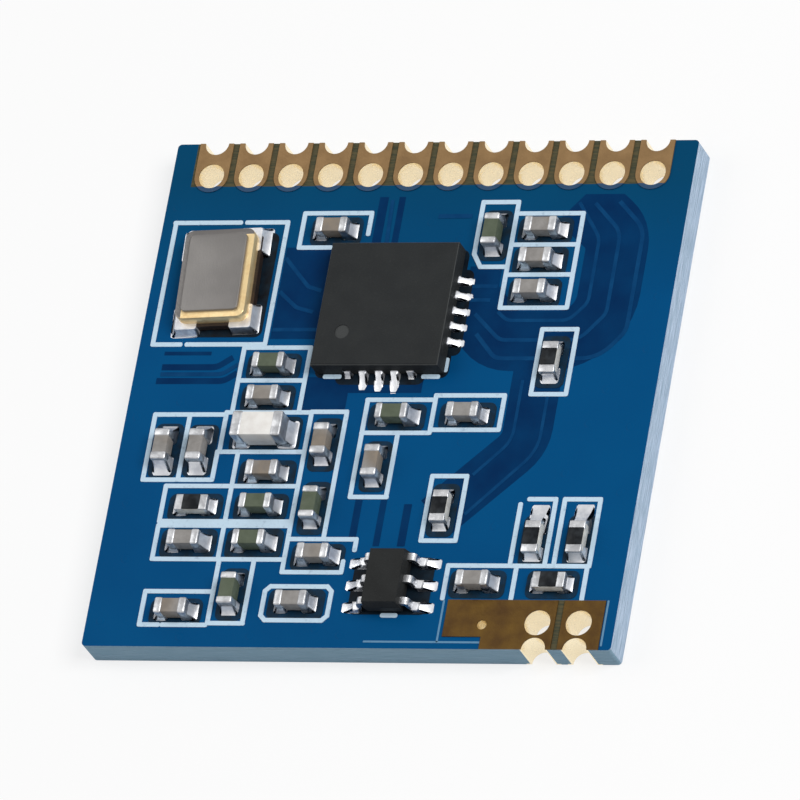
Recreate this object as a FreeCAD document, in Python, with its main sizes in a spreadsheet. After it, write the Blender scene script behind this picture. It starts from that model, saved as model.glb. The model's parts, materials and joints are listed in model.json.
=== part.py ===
# Radio transceiver module: a square printed board with a row of plated edge contacts,
# a transceiver chip, a quartz crystal, an antenna switch and small chip parts.
# Millimetres, +Z up. The origin is at the middle of the board's underside, +Y points to
# the row of edge contacts, and the antenna contact is on the opposite edge towards +X.
import FreeCAD, Part
import os
import Sketcher
from FreeCAD import Placement, Rotation, Vector

os.makedirs("parts", exist_ok=True)
doc = FreeCAD.newDocument("radio_module")
sheet = doc.addObject("Spreadsheet::Sheet", "size")

# Driving dimensions of the board, its contacts and the parts on it
SIZES = (
    ("board_width", 16.5),
    ("board_length", 16.4),
    ("board_thickness", 1.0),
    ("board_corner", 0.12),
    ("contact_count", 12),
    ("contact_pitch", 1.27),
    ("contact_width", 1.07),
    ("pin_inset", 1.08),
    ("pin_bore", 0.8),
    ("edge_bore", 0.75),
    ("plating", 0.04),
    ("sleeve_flat_count", 8),
    ("foil", 0.04),
    ("antenna_x", 5.87),
    ("antenna_inset", 0.84),
    ("antenna_land_depth", 1.55),
    ("antenna_land_reach", 2.87),
    ("antenna_land_margin", 0.38),
    ("antenna_step_reach", 1.67),
    ("ground_side", 0.73),
    ("via_bore", 0.3),
    ("via_reach", 1.7),
    ("via_inset", 0.76),
    ("solder_height", 0.05),
    ("chip_side", 4.0),
    ("chip_height", 0.6),
    ("chip_bevel", 0.04),
    ("chip_leads_per_side", 5),
    ("chip_lead_pitch", 0.5),
    ("chip_lead_width", 0.25),
    ("chip_lead_length", 0.4),
    ("chip_lead_thickness", 0.2),
    ("chip_pad_side", 2.6),
    ("chip_joint_toe", 0.42),
    ("dot_inset_x", 0.82),
    ("dot_inset_y", 1.08),
    ("dot_diameter", 0.45),
    ("dot_depth", 0.03),
    ("crystal_width", 2.4),
    ("crystal_length", 3.1),
    ("crystal_base_height", 0.25),
    ("crystal_notch", 0.2),
    ("cavity_wall", 0.45),
    ("cavity_depth", 0.15),
    ("ledge_length", 0.4),
    ("ledge_drop", 0.06),
    ("blank_gap", 0.12),
    ("blank_thickness", 0.06),
    ("ring_inset", 0.1),
    ("ring_height", 0.38),
    ("ring_corner", 0.25),
    ("lid_inset", 0.3),
    ("lid_height", 0.1),
    ("lid_corner", 0.15),
    ("crystal_joint_width", 1.15),
    ("crystal_joint_length", 1.3),
    ("crystal_joint_toe", 0.25),
    ("crystal_joint_climb", 0.25),
    ("crystal_joint_rise", 0.24),
    ("switch_width", 1.15),
    ("switch_length", 1.78),
    ("switch_height", 0.66),
    ("switch_standoff", 0.06),
    ("switch_draft", 7),
    ("switch_leads_per_side", 3),
    ("switch_pitch", 0.7),
    ("switch_lead_width", 0.22),
    ("switch_lead_gauge", 0.13),
    ("switch_lead_level", 0.3),
    ("switch_lead_span", 2.1),
    ("switch_lead_root", 0.15),
    ("switch_foot", 0.22),
    ("switch_bend", 0.06),
    ("switch_joint_width", 0.38),
    ("switch_joint_toe", 0.38),
    ("cap_wall", 0.03),
    ("capacitor_length", 1.0),
    ("capacitor_width", 0.5),
    ("capacitor_height", 0.5),
    ("capacitor_band", 0.25),
    ("bulk_length", 1.6),
    ("bulk_width", 0.8),
    ("bulk_height", 0.8),
    ("bulk_band", 0.32),
    ("inductor_length", 1.0),
    ("inductor_width", 0.5),
    ("inductor_height", 0.52),
    ("inductor_band", 0.22),
    ("resistor_length", 1.0),
    ("resistor_width", 0.5),
    ("resistor_height", 0.35),
    ("resistor_band", 0.27),
    ("coat_thickness", 0.03),
    ("coat_margin", 0.02),
    ("joint_toe", 0.28),
    ("joint_foot", 0.12),
    ("joint_foot_height", 0.08),
    ("joint_climb", 0.27),
)

# Where the parts are: X from the board's middle, Y as a share of the board's length, and
# their turn about +Z in degrees
PLACES = (
    ("transceiver", -0.42, 0.1579, 0),
    ("crystal", -5.97, 0.2183, 2.5),
    ("switch", 1.15, -0.3793, 0),
    ("capacitor_01", -2.64, 0.3207, 0),
    ("capacitor_02", 3.95, 0.3201, 0),
    ("capacitor_03", 3.95, 0.2585, 0),
    ("capacitor_04", 3.95, 0.1957, 0),
    ("capacitor_05", -3.83, -0.0134, 0),
    ("capacitor_06", -6.75, -0.1159, 90),
    ("capacitor_07", -5.65, -0.1159, 90),
    ("capacitor_08", -3.40, -0.1616, 0),
    ("capacitor_09", -5.47, -0.2988, 0),
    ("capacitor_10", -1.75, -0.1037, 90),
    ("capacitor_11", -1.32, -0.3244, 0),
    ("capacitor_12", -0.03, -0.1463, 90),
    ("capacitor_13", 2.55, -0.0470, 0),
    ("capacitor_14", -5.46, -0.4329, 0),
    ("capacitor_15", -1.73, -0.4165, 0),
    ("capacitor_16", 3.80, -0.3750, 0),
    ("bulk_capacitor", -3.68, -0.0841, 0),
    ("inductor_01", 2.41, 0.3110, 90),
    ("inductor_02", -3.83, 0.0506, 0),
    ("inductor_03", -3.40, -0.2274, 0),
    ("inductor_04", -3.40, -0.2988, 0),
    ("inductor_05", -1.72, -0.2287, 90),
    ("inductor_06", 0.35, -0.0500, 0),
    ("inductor_07", -3.78, -0.3982, 90),
    ("resistor_01", 4.90, 0.0598, 90),
    ("resistor_02", -5.47, -0.2274, 0),
    ("resistor_03", 2.32, -0.2317, 90),
    ("resistor_04", 5.35, -0.2909, 90),
    ("resistor_05", 6.72, -0.2909, 90),
    ("resistor_06", 6.12, -0.3750, 0),
)

# Heights and turns that several pieces share
TOP = "size.board_thickness"
SEAT = "size.board_thickness + size.solder_height"
HALF_TURN = 180
QUARTER_TURN = 90
CLEAR = "0.5"

# How near two measures must be to count as the same
SAME = 1e-4


def fill_sheet():
    """Write each driving dimension into a cell that bears its name."""
    rows = list(SIZES)
    for name, x, share, _turn in PLACES:
        rows.append((name + "_x", x))
        rows.append((name + "_share", share))
    for number, (alias, value) in enumerate(rows, start=1):
        sheet.set("A%d" % number, alias)
        sheet.set("B%d" % number, str(value))
        sheet.setAlias("B%d" % number, alias)
    doc.recompute()


def cell(name):
    """The number that a cell of the sheet holds."""
    return float(sheet.get(name))


def place(piece, x="0", y="0", z="0", turn=0):
    """Put a piece where the sheet says, turned about +Z."""
    piece.Placement = Placement(Vector(0, 0, 0), Rotation(Vector(0, 0, 1), turn))
    for axis, rule in zip("xyz", (x, y, z)):
        piece.setExpression("Placement.Base." + axis, rule)
    return piece


def on_board(piece, name, z, turn=0):
    """Put a piece of a part where the table has that part, at a height of its own."""
    own_turn = next(row[3] for row in PLACES if row[0] == name)
    y = f"size.{name}_share * size.board_length"
    return place(piece, f"size.{name}_x", y, z, own_turn + turn)


def block(name, length, width, height, x="0", y="0", z="0"):
    """Box centred on x and y, standing on z."""
    box = doc.addObject("Part::Box", name)
    box.setExpression("Length", length)
    box.setExpression("Width", width)
    box.setExpression("Height", height)
    return place(box, f"{x} - ({length}) / 2", f"{y} - ({width}) / 2", z)


def rod(name, diameter, height, x="0", y="0", z="0"):
    """Upright cylinder on z."""
    cylinder = doc.addObject("Part::Cylinder", name)
    cylinder.setExpression("Radius", f"({diameter}) / 2")
    cylinder.setExpression("Height", height)
    return place(cylinder, x, y, z)


def prism(name, flats, across, height, x="0", y="0"):
    """Upright prism with a flat towards +Y, measured across its flats."""
    column = doc.addObject("Part::Prism", name)
    column.Polygon = flats
    column.setExpression("Circumradius", f"({across}) / 2 / cos({HALF_TURN / flats})")
    column.setExpression("Height", height)
    return place(column, x, y, "0", HALF_TURN / flats)


def join(name, pieces):
    """One solid made of several that meet."""
    fused = doc.addObject("Part::MultiFuse", name)
    fused.Shapes = pieces
    fused.Refine = True
    return fused


def group(name, pieces):
    """Separate solids kept in one sub-part."""
    compound = doc.addObject("Part::Compound", name)
    compound.Links = pieces
    return compound


def cut(name, base, tool):
    """The base with the tool's space taken out."""
    carved = doc.addObject("Part::Cut", name)
    carved.Base = base
    carved.Tool = tool
    carved.Refine = True
    return carved


def copy_of(name, master):
    """A further copy of a piece that is drawn once."""
    link = doc.addObject("App::Link", name)
    link.LinkedObject = master
    return link


def new_body(name):
    """Body for sketched features."""
    body = doc.addObject("PartDesign::Body", name)
    body.AllowCompound = True
    return body


def draw(body, name, role="XY_Plane", lift="0"):
    """Sketch on one of the body's own planes, lifted off it by a rule."""
    sketch = body.newObject("Sketcher::SketchObject", name)
    plane = next(item for item in body.Origin.OriginFeatures if item.Role == role)
    sketch.AttachmentSupport = (plane, [""])
    sketch.MapMode = "FlatFace"
    sketch.setExpression("AttachmentOffset.Base.z", lift)
    return sketch


def hold(sketch, name, edge, point, x, y):
    """Tie one point of the sketch to its place by two bound lengths."""
    for axis, rule in (("X", x), ("Y", y)):
        kind = "Distance" + axis
        value = float(sketch.evalExpression(rule))
        index = sketch.addConstraint(Sketcher.Constraint(kind, -1, 1, edge, point, value))
        sketch.renameConstraint(index, name + axis.lower())
        sketch.setExpression("Constraints." + name + axis.lower(), rule)


def polygon(sketch, corners):
    """Closed outline through corners given as pairs of rules."""
    spots = [Vector(sketch.evalExpression(x), sketch.evalExpression(y), 0) for x, y in corners]
    count = len(spots)
    edges = [sketch.addGeometry(Part.LineSegment(spots[i], spots[(i + 1) % count]), False)
             for i in range(count)]
    for i in range(count):
        sketch.addConstraint(Sketcher.Constraint("Coincident", edges[i], 2, edges[(i + 1) % count], 1))
    for i, (x, y) in enumerate(corners):
        hold(sketch, "corner%d" % i, edges[i], 1, x, y)


def rectangle(sketch, width, length, x="0", y="0"):
    """Rectangle centred on x and y."""
    left, right = f"{x} - ({width}) / 2", f"{x} + ({width}) / 2"
    low, high = f"{y} - ({length}) / 2", f"{y} + ({length}) / 2"
    polygon(sketch, [(left, low), (right, low), (right, high), (left, high)])


def circle(sketch, name, diameter, x="0", y="0"):
    """Circle tied to its centre and diameter."""
    centre = Vector(sketch.evalExpression(x), sketch.evalExpression(y), 0)
    across = float(sketch.evalExpression(diameter))
    edge = sketch.addGeometry(Part.Circle(centre, Vector(0, 0, 1), across / 2), False)
    hold(sketch, name, edge, 3, x, y)
    index = sketch.addConstraint(Sketcher.Constraint("Diameter", edge, across))
    sketch.renameConstraint(index, name + "across")
    sketch.setExpression("Constraints." + name + "across", diameter)


def pad(body, name, sketch, length, downwards=False, both_ways=False, draft=None):
    """Raise a sketch into solid."""
    feature = body.newObject("PartDesign::Pad", name)
    feature.Profile = sketch
    feature.setExpression("Length", length)
    feature.Reversed = downwards
    feature.Midplane = both_ways
    if draft:
        feature.setExpression("TaperAngle", draft)
    return feature


def pocket(body, name, sketch, depth, upwards=False):
    """Sink a sketch into the solid."""
    feature = body.newObject("PartDesign::Pocket", name)
    feature.Profile = sketch
    feature.setExpression("Length", depth)
    feature.Reversed = upwards
    return feature


def soften(body, name, base, radius, wanted, kind="PartDesign::Fillet"):
    """Round or bevel the edges of a feature that a test picks."""
    doc.recompute()
    picked = ["Edge%d" % (i + 1) for i, edge in enumerate(base.Shape.Edges) if wanted(edge)]
    feature = body.newObject(kind, name)
    feature.Base = (base, picked)
    feature.setExpression("Radius" if kind.endswith("Fillet") else "Size", radius)
    return feature


def along(edge, direction):
    """Whether an edge is straight and runs along a direction."""
    if len(edge.Vertexes) != 2:
        return False
    run = edge.Vertexes[1].Point - edge.Vertexes[0].Point
    return run.Length > 0 and abs(abs(run.normalize().dot(direction)) - 1) < SAME


def at_height(edge, height):
    """Whether all of an edge lies at one height."""
    box = edge.BoundBox
    return abs(box.ZMin - height) < SAME and abs(box.ZMax - height) < SAME


def board_blank():
    """Laminate with rounded corners, before its holes."""
    body = new_body("board_blank")
    outline = draw(body, "board_outline")
    rectangle(outline, "size.board_width", "size.board_length")
    slab = pad(body, "board_slab", outline, "size.board_thickness")
    soften(body, "board_corners", slab, "size.board_corner", lambda edge: along(edge, Vector(0, 0, 1)))
    return body


def plated_contact(name, x, side, inset, upper_lands):
    """Copper of one contact: land, lined hole, lined half hole in the edge and foot.

    side is +1 on the edge towards +Y and -1 on the opposite edge. The copper that
    lies in the laminate is drawn whole first, because the board is cut by it.
    """
    edge = f"{side} * size.board_length / 2"
    hole = f"{side} * (size.board_length / 2 - {inset})"
    wide = "size.contact_width"
    reach = f"({inset} + {wide} / 2)"
    flats = int(cell("sleeve_flat_count"))
    foot = [
        block(name + "_foot", wide, reach, "size.foil", x, f"{side} * (size.board_length - {reach}) / 2"),
        prism(name + "_sleeve", flats, "size.pin_bore + 2 * size.plating", TOP, x, hole),
        rod(name + "_half_barrel", "size.edge_bore + 2 * size.plating", TOP, x, edge),
    ]
    sunk = join(name + "_sunk", foot)
    past_edge = f"{side} * (size.board_length / 2 + {CLEAR})"
    depth = f"{TOP} + 3 * size.foil"
    waste = [
        rod(name + "_pin_hole", "size.pin_bore", depth, x, hole, "-size.foil"),
        rod(name + "_edge_hole", "size.edge_bore", depth, x, edge, "-size.foil"),
        block(name + "_outside", f"{wide} + {CLEAR}", f"2 * {CLEAR}", depth, x, past_edge, "-size.foil"),
    ]
    copper = join(name + "_copper", [sunk] + upper_lands)
    contact = cut(name, copper, join(name + "_waste", waste))
    return contact, sunk


def edge_contact(number):
    """One of the contacts in the row, with a land that ends round behind its hole."""
    name = "edge_contact_%02d" % number
    x = f"({number} - (size.contact_count + 1) / 2) * size.contact_pitch"
    hole = "size.board_length / 2 - size.pin_inset"
    middle = "size.board_length / 2 - size.pin_inset / 2"
    lands = [
        block(name + "_land", "size.contact_width", "size.pin_inset", "size.foil", x, middle, TOP),
        rod(name + "_land_end", "size.contact_width", "size.foil", x, hole, TOP),
    ]
    return plated_contact(name, x, 1, "size.pin_inset", lands)


def antenna_contact():
    """Antenna contact with its long land, stepped back from the edge at its far end."""
    name = "antenna_contact"
    right = "size.antenna_x + size.contact_width / 2"
    edge = "-size.board_length / 2"
    depth = "size.antenna_land_depth"
    near = "(size.antenna_step_reach + size.contact_width / 2)"
    far = "(size.antenna_land_reach + size.contact_width / 2)"
    shallow = f"({depth} - size.antenna_land_margin)"
    lands = [
        block(name + "_land", near, depth, "size.foil",
              f"{right} - {near} / 2", f"{edge} + {depth} / 2", TOP),
        block(name + "_far_land", far, shallow, "size.foil", f"{right} - {far} / 2",
              f"{edge} + size.antenna_land_margin + {shallow} / 2", TOP),
    ]
    contact, sunk = plated_contact(name + "_bored", "size.antenna_x", -1, "size.antenna_inset", lands)
    via_x = "size.antenna_x - size.via_reach"
    via_y = "-size.board_length / 2 + size.via_inset"
    lining = rod("via_lining", "size.via_bore + 2 * size.plating", TOP, via_x, via_y)
    hole = rod("via_hole", "size.via_bore", f"{TOP} + 3 * size.foil", via_x, via_y, "-size.foil")
    whole = cut(name, join(name + "_with_via", [contact, lining]), hole)
    return whole, [sunk, lining]


def ground_contact():
    """Ground contact beside the antenna's, one pitch further along the edge."""
    name = "ground_contact"
    x = "size.antenna_x + size.contact_pitch"
    depth = "size.antenna_land_depth"
    wide = "(size.contact_width / 2 + size.ground_side)"
    middle = f"{x} + (size.ground_side - size.contact_width / 2) / 2"
    centre = f"-size.board_length / 2 + {depth} / 2"
    lands = [block(name + "_land", wide, depth, "size.foil", middle, centre, TOP)]
    return plated_contact(name, x, -1, "size.antenna_inset", lands)


def board_and_contacts():
    """Board cut by the copper that lies in it, and every plated contact."""
    contacts = []
    sunk_copper = []
    for number in range(1, int(cell("contact_count")) + 1):
        contact, sunk = edge_contact(number)
        contacts.append(contact)
        sunk_copper.append(sunk)
    antenna, sunk_pieces = antenna_contact()
    ground, sunk = ground_contact()
    contacts += [antenna, ground]
    sunk_copper += sunk_pieces + [sunk]
    board = cut("printed_circuit_board", board_blank(), group("copper_in_board", sunk_copper))
    return [board] + contacts


def chip_leads():
    """Flat terminals round the chip's underside, flush with its sides."""
    count = int(cell("chip_leads_per_side"))
    lead = group("chip_lead", [
        block("chip_lead_bar", "size.chip_lead_width", "size.chip_lead_length", "size.chip_lead_thickness",
              "0", "(size.chip_side - size.chip_lead_length) / 2")])
    row = []
    for number in range(count):
        step = f"({number} - (size.chip_leads_per_side - 1) / 2) * size.chip_lead_pitch"
        row.append(place(copy_of("chip_row_lead_%d" % number, lead), step))
    side = group("chip_lead_row", row)
    sides = []
    for number in range(4):
        turned = copy_of("chip_lead_side_%d" % number, side)
        sides.append(place(turned, turn=number * QUARTER_TURN))
    leads = group("chip_leads", sides)
    return leads


def chip_body(metal):
    """Moulded body with a shallow dot at its first lead, cut by the metal in it."""
    body = new_body("chip_moulding")
    outline = draw(body, "chip_outline")
    rectangle(outline, "size.chip_side", "size.chip_side")
    block_of_resin = pad(body, "chip_resin", outline, "size.chip_height")
    height = cell("chip_height")
    soften(body, "chip_bevels", block_of_resin, "size.chip_bevel",
           lambda edge: at_height(edge, height), "PartDesign::Chamfer")
    dot = draw(body, "dot_outline", lift="size.chip_height")
    circle(dot, "dot", "size.dot_diameter",
           "-size.chip_side / 2 + size.dot_inset_x", "-size.chip_side / 2 + size.dot_inset_y")
    pocket(body, "dot_recess", dot, "size.dot_depth")
    return cut("transceiver_chip", body, metal)


def chip_assembly():
    """Transceiver chip: moulding, leads and the pad under its middle."""
    leads = chip_leads()
    thermal = group("chip_thermal_pad", [
        block("thermal_plate", "size.chip_pad_side", "size.chip_pad_side", "size.chip_lead_thickness")])
    metal = [copy_of("leads_in_resin", leads), copy_of("pad_in_resin", thermal)]
    body = chip_body(group("chip_metal", metal))
    return [on_board(piece, "transceiver", SEAT) for piece in (body, leads, thermal)]


def crystal_base():
    """Ceramic tray with notched corners and a ledge that holds the blank."""
    body = new_body("crystal_base")
    outline = draw(body, "tray_outline")
    rectangle(outline, "size.crystal_width", "size.crystal_length")
    pad(body, "tray", outline, "size.crystal_base_height")
    notches = draw(body, "tray_notches")
    for name, across, up in (("a", -1, -1), ("b", 1, -1), ("c", 1, 1), ("d", -1, 1)):
        circle(notches, name, "2 * size.crystal_notch",
               f"{across} * size.crystal_width / 2", f"{up} * size.crystal_length / 2")
    pocket(body, "notched_corners", notches, "size.crystal_base_height", upwards=True)
    inner_width = "size.crystal_width - 2 * size.cavity_wall"
    inner_length = "size.crystal_length - 2 * size.cavity_wall"
    upper = draw(body, "upper_cavity_outline", lift="size.crystal_base_height")
    rectangle(upper, inner_width, inner_length)
    pocket(body, "upper_cavity", upper, "size.ledge_drop")
    lower = draw(body, "lower_cavity_outline", lift="size.crystal_base_height")
    rectangle(lower, inner_width, f"{inner_length} - size.ledge_length", "0", "-size.ledge_length / 2")
    pocket(body, "lower_cavity", lower, "size.cavity_depth")
    return on_board(body, "crystal", SEAT)


def crystal_ring():
    """Plated frame between tray and lid."""
    body = new_body("crystal_seal_ring")
    outline = draw(body, "ring_outline")
    rectangle(outline, "size.crystal_width - 2 * size.ring_inset",
              "size.crystal_length - 2 * size.ring_inset")
    plate = pad(body, "ring_plate", outline, "size.ring_height")
    soften(body, "ring_corners", plate, "size.ring_corner", lambda edge: along(edge, Vector(0, 0, 1)))
    window = draw(body, "ring_window")
    rectangle(window, "size.crystal_width - 2 * size.cavity_wall",
              "size.crystal_length - 2 * size.cavity_wall")
    pocket(body, "ring_opening", window, "size.ring_height", upwards=True)
    return on_board(body, "crystal", f"{SEAT} + size.crystal_base_height")


def crystal_lid():
    """Metal lid with rounded corners."""
    body = new_body("crystal_lid")
    outline = draw(body, "lid_outline")
    rectangle(outline, "size.crystal_width - 2 * size.lid_inset", "size.crystal_length - 2 * size.lid_inset")
    plate = pad(body, "lid_plate", outline, "size.lid_height")
    soften(body, "lid_corners", plate, "size.lid_corner", lambda edge: along(edge, Vector(0, 0, 1)))
    return on_board(body, "crystal", f"{SEAT} + size.crystal_base_height + size.ring_height")


def quartz_blank():
    """Quartz plate held at one end on the tray's ledge."""
    width = "(size.crystal_width - 2 * size.cavity_wall - 2 * size.blank_gap)"
    length = "(size.crystal_length - 2 * size.cavity_wall - 2 * size.blank_gap)"
    plate = block("quartz_plate", width, length, "size.blank_thickness")
    ledge = f"{SEAT} + size.crystal_base_height - size.ledge_drop"
    return on_board(group("quartz_blank", [plate]), "crystal", ledge)


def switch_body(leads):
    """Moulded body drafted up and down from the level of its leads, cut by their roots."""
    body = new_body("switch_moulding")
    level = "size.switch_standoff + size.switch_lead_level"
    outline = draw(body, "switch_outline", lift=level)
    rectangle(outline, "size.switch_width", "size.switch_length")
    upper_height = "size.switch_height - size.switch_lead_level"
    pad(body, "upper_half", outline, upper_height, draft="-size.switch_draft")
    pad(body, "lower_half", outline, "size.switch_lead_level", downwards=True, draft="-size.switch_draft")
    moulded = cut("switch_body", body, group("switch_metal", leads))
    return on_board(moulded, "switch", SEAT)


def switch_lead():
    """Gull-wing lead drawn on the +X side: out of the body, down and out to its foot."""
    body = new_body("switch_lead")
    profile = draw(body, "lead_profile", "XZ_Plane")
    gauge = "size.switch_lead_gauge"
    root = "size.switch_width / 2 - size.switch_lead_root"
    tip = "size.switch_lead_span / 2"
    heel = f"{tip} - size.switch_foot"
    low = "size.switch_standoff + size.switch_lead_level"
    polygon(profile, [
        (root, low),
        (f"{heel} - {gauge}", low),
        (f"{heel} - {gauge}", "0"),
        (tip, "0"),
        (tip, gauge),
        (heel, gauge),
        (heel, f"{low} + {gauge}"),
        (root, f"{low} + {gauge}"),
    ])
    bar = pad(body, "lead_bar", profile, "size.switch_lead_width", both_ways=True)
    doc.recompute()
    across = Vector(0, 1, 0)
    shoulder = cell("switch_lead_span") / 2 - cell("switch_foot")
    thickness = cell("switch_lead_gauge")
    bends = (shoulder, shoulder - thickness)

    def is_bend(edge):
        return along(edge, across) and any(abs(edge.Vertexes[0].X - x) < SAME for x in bends)

    soften(body, "lead_bends", bar, "size.switch_bend", is_bend, "PartDesign::Chamfer")
    return body


def switch_assembly():
    """Antenna switch: moulding and the gull-wing leads on both its sides."""
    lead = switch_lead()
    leads = []
    count = int(cell("switch_leads_per_side"))
    for side, turn in (("right", 0), ("left", HALF_TURN)):
        for number in range(count):
            step = f"({number} - (size.switch_leads_per_side - 1) / 2) * size.switch_pitch"
            leads.append(place(copy_of("switch_lead_%s_%d" % (side, number), lead), y=step, turn=turn))
    return [switch_body(leads), on_board(group("switch_leads", leads), "switch", SEAT)]


def chip_core(family):
    """Ceramic block of a chip part, as deep as its end caps leave it."""
    wall = "2 * size.cap_wall"
    core = block(family + "_core", f"size.{family}_length - {wall}", f"size.{family}_width - {wall}",
                 f"size.{family}_height - {wall}", z="size.cap_wall")
    return group(family + "_block", [core])


def end_cap(family):
    """Metal cap on the +X end of a chip part, closed round all its sides."""
    body = new_body(family + "_end_cap")
    face = draw(body, family + "_cap_outline", "YZ_Plane", f"size.{family}_length / 2 - size.{family}_band")
    rectangle(face, f"size.{family}_width", f"size.{family}_height", "0", f"size.{family}_height / 2")
    pad(body, family + "_cap_solid", face, f"size.{family}_band")
    mouth = draw(body, family + "_cap_mouth", "YZ_Plane", f"size.{family}_length / 2 - size.{family}_band")
    inner = f"size.{family}_height - 2 * size.cap_wall"
    rectangle(mouth, f"size.{family}_width - 2 * size.cap_wall", inner, "0", f"size.{family}_height / 2")
    pocket(body, family + "_cap_pocket", mouth, f"size.{family}_band - size.cap_wall", upwards=True)
    return body


def resistor_core():
    """Ceramic plate of a chip resistor, full width between its folded ends."""
    wall = "2 * size.cap_wall"
    core = block("resistor_core", f"size.resistor_length - {wall}", "size.resistor_width",
                 f"size.resistor_height - {wall}", z="size.cap_wall")
    return group("resistor_block", [core])


def resistor_end():
    """Metal folded over the +X end of a resistor: under, up the end and over the top."""
    body = new_body("resistor_end")
    profile = draw(body, "resistor_end_profile", "XZ_Plane")
    outer = "size.resistor_length / 2"
    inner = f"{outer} - size.resistor_band"
    wall = "size.cap_wall"
    polygon(profile, [
        (inner, "0"),
        (outer, "0"),
        (outer, "size.resistor_height"),
        (inner, "size.resistor_height"),
        (inner, f"size.resistor_height - {wall}"),
        (f"{outer} - {wall}", f"size.resistor_height - {wall}"),
        (f"{outer} - {wall}", wall),
        (inner, wall),
    ])
    pad(body, "resistor_end_fold", profile, "size.resistor_width", both_ways=True)
    return body


def resistor_coat():
    """Dark coat on the resistor's top between its ends."""
    coat = block("coat_film", "size.resistor_length - 2 * size.resistor_band",
                 "size.resistor_width - 2 * size.coat_margin", "size.coat_thickness",
                 z="size.resistor_height - size.cap_wall")
    return group("coat_master", [coat])


def end_joint(family):
    """Solder under the +X end of a chip part, sloping up its end face."""
    body = new_body(family + "_joint")
    profile = draw(body, family + "_joint_profile", "XZ_Plane")
    face = f"size.{family}_length / 2"
    polygon(profile, [
        (f"{face} - size.{family}_band", "0"),
        (f"{face} + size.joint_toe", "0"),
        (f"{face} + size.joint_foot", "size.solder_height + size.joint_foot_height"),
        (face, "size.solder_height + size.joint_climb"),
        (face, "size.solder_height"),
        (f"{face} - size.{family}_band", "size.solder_height"),
    ])
    pad(body, family + "_joint_bead", profile, f"size.{family}_width", both_ways=True)
    return body


def at_both_ends(part, name, master, z):
    """Two copies of a piece, one at each end of a placed chip part."""
    return [on_board(copy_of("%s_%s_%s" % (part, name, letter), master), part, z, turn)
            for letter, turn in (("a", 0), ("b", HALF_TURN))]


def chip_parts():
    """Capacitors, inductors and resistors with their ends, and their solder."""
    masters = {
        "capacitor": (chip_core("capacitor"), end_cap("capacitor"), end_joint("capacitor")),
        "bulk": (chip_core("bulk"), end_cap("bulk"), end_joint("bulk")),
        "inductor": (chip_core("inductor"), end_cap("inductor"), end_joint("inductor")),
        "resistor": (resistor_core(), resistor_end(), end_joint("resistor")),
    }
    coat_master = resistor_coat()
    cores = []
    coats = []
    solder = []
    caps = {"capacitor": [], "inductor": [], "resistor": []}
    for name in (row[0] for row in PLACES if row[0].split("_")[0] in masters):
        family = name.split("_")[0]
        core, end, joint = masters[family]
        cores.append(on_board(copy_of(name, core), name, SEAT))
        cap_group = "capacitor" if family == "bulk" else family
        caps[cap_group] += at_both_ends(name, "cap", end, SEAT)
        solder += at_both_ends(name, "joint", joint, TOP)
        if family == "resistor":
            coats.append(on_board(copy_of(name + "_coat", coat_master), name, SEAT))
    ends = [group(family + "_end_caps", caps[family]) for family in caps]
    return cores + ends + [group("resistor_coats", coats)], solder


def chip_solder():
    """Solder beds under the chip's leads that reach out past its sides."""
    reach = "(size.chip_lead_length + size.chip_joint_toe)"
    bed = group("chip_joint", [
        block("chip_joint_bed", "size.chip_lead_width", reach, "size.solder_height", "0",
              f"size.chip_side / 2 + size.chip_joint_toe - {reach} / 2")])
    joints = []
    for side in range(4):
        row = []
        for number in range(int(cell("chip_leads_per_side"))):
            step = f"({number} - (size.chip_leads_per_side - 1) / 2) * size.chip_lead_pitch"
            row.append(place(copy_of("chip_joint_%d_%d" % (side, number), bed), step))
        joints.append(place(group("chip_joint_row_%d" % side, row), turn=side * QUARTER_TURN))
    joints.append(block("thermal_joint", "size.chip_pad_side", "size.chip_pad_side", "size.solder_height"))
    return [on_board(group("chip_joints", joints), "transceiver", TOP)]


def crystal_solder():
    """Solder beds at the crystal's corners, rising in the notches of the tray."""
    joints = []
    for name, across, up in (("a", -1, -1), ("b", 1, -1), ("c", 1, 1), ("d", -1, 1)):
        corner_x = f"{across} * size.crystal_width / 2"
        corner_y = f"{up} * size.crystal_length / 2"
        bed_x = f"{corner_x} + {across} * (size.crystal_joint_toe - size.crystal_joint_width / 2)"
        bed_y = f"{corner_y} + {up} * (size.crystal_joint_toe - size.crystal_joint_length / 2)"
        bed = block("crystal_bed_" + name, "size.crystal_joint_width", "size.crystal_joint_length",
                    "size.solder_height", bed_x, bed_y)
        rise = block("crystal_rise_" + name, "size.crystal_joint_rise", "size.crystal_joint_rise",
                     "size.crystal_joint_climb", corner_x, corner_y)
        joints.append(join("crystal_joint_" + name, [bed, rise]))
    return [on_board(group("crystal_joints", joints), "crystal", TOP)]


def switch_solder():
    """Solder beds under the switch's feet."""
    length = "(size.switch_foot + size.switch_lead_gauge + size.switch_joint_toe)"
    joints = []
    for side, sign in (("right", 1), ("left", -1)):
        middle = f"{sign} * (size.switch_lead_span / 2 + size.switch_joint_toe - {length} / 2)"
        for number in range(int(cell("switch_leads_per_side"))):
            step = f"({number} - (size.switch_leads_per_side - 1) / 2) * size.switch_pitch"
            joints.append(block("switch_joint_%s_%d" % (side, number), length, "size.switch_joint_width",
                                "size.solder_height", middle, step))
    return [on_board(group("switch_joints", joints), "switch", TOP)]


def check(pieces):
    """Stop if any object failed or a sub-part isn't a sound solid."""
    for item in doc.Objects:
        if "Invalid" in item.State or "Error" in item.State:
            raise RuntimeError("failed object: " + item.Name)
    for piece in pieces:
        shape = piece.Shape
        if shape.isNull() or not shape.isValid() or not shape.Solids:
            raise RuntimeError("unsound sub-part: " + piece.Label)


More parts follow.
